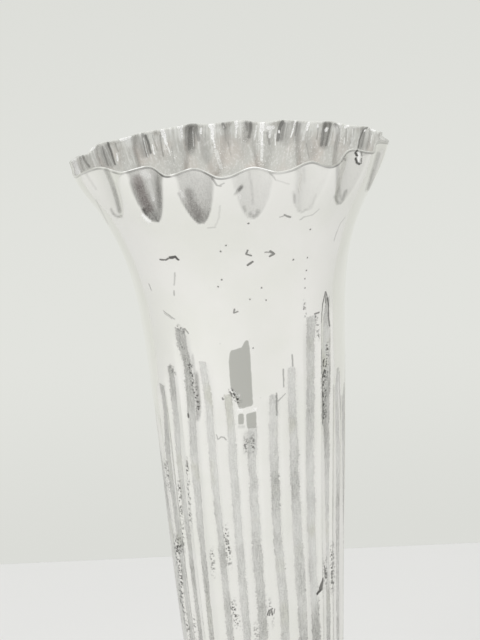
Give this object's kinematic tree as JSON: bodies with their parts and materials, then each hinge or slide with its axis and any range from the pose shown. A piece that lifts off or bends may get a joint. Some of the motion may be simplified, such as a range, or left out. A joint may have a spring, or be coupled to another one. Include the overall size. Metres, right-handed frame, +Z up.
{
  "type": "thistle vase",
  "caption": "Tall fluted trumpet vase with a crimped flaring mouth, a fluted thistle bulb, a short turned stem and a round loaded foot, in polished plated metal.",
  "frame": {"origin": "middle of the flat face that the vase rests on", "axes": "+Z up along the vase's axis, -Y towards the front"},
  "size_m": [0.0982, 0.0988, 0.28],
  "materials": {
    "silver_plate": "polished silver plate on sheet, worn, with tarnish in the hollows",
    "cast_silver_plate": "polished silver plate on cast and drawn parts",
    "steel": "dull steel",
    "brass": "turned brass",
    "pitch_loading": "poured black pitch",
    "green_baize": "felted wool baize"
  },
  "bodies": {
    "root": {"trumpet_body": "silver_plate", "thistle_bulb": "silver_plate", "stem_spool": "cast_silver_plate", "foot_shell": "silver_plate", "foot_edge_wire": "cast_silver_plate", "stem_stud": "brass", "stud_washer": "steel", "stud_nut": "brass", "foot_loading": "pitch_loading", "base_plate": "steel", "baize_pad": "green_baize"}
  },
  "joints": []
}
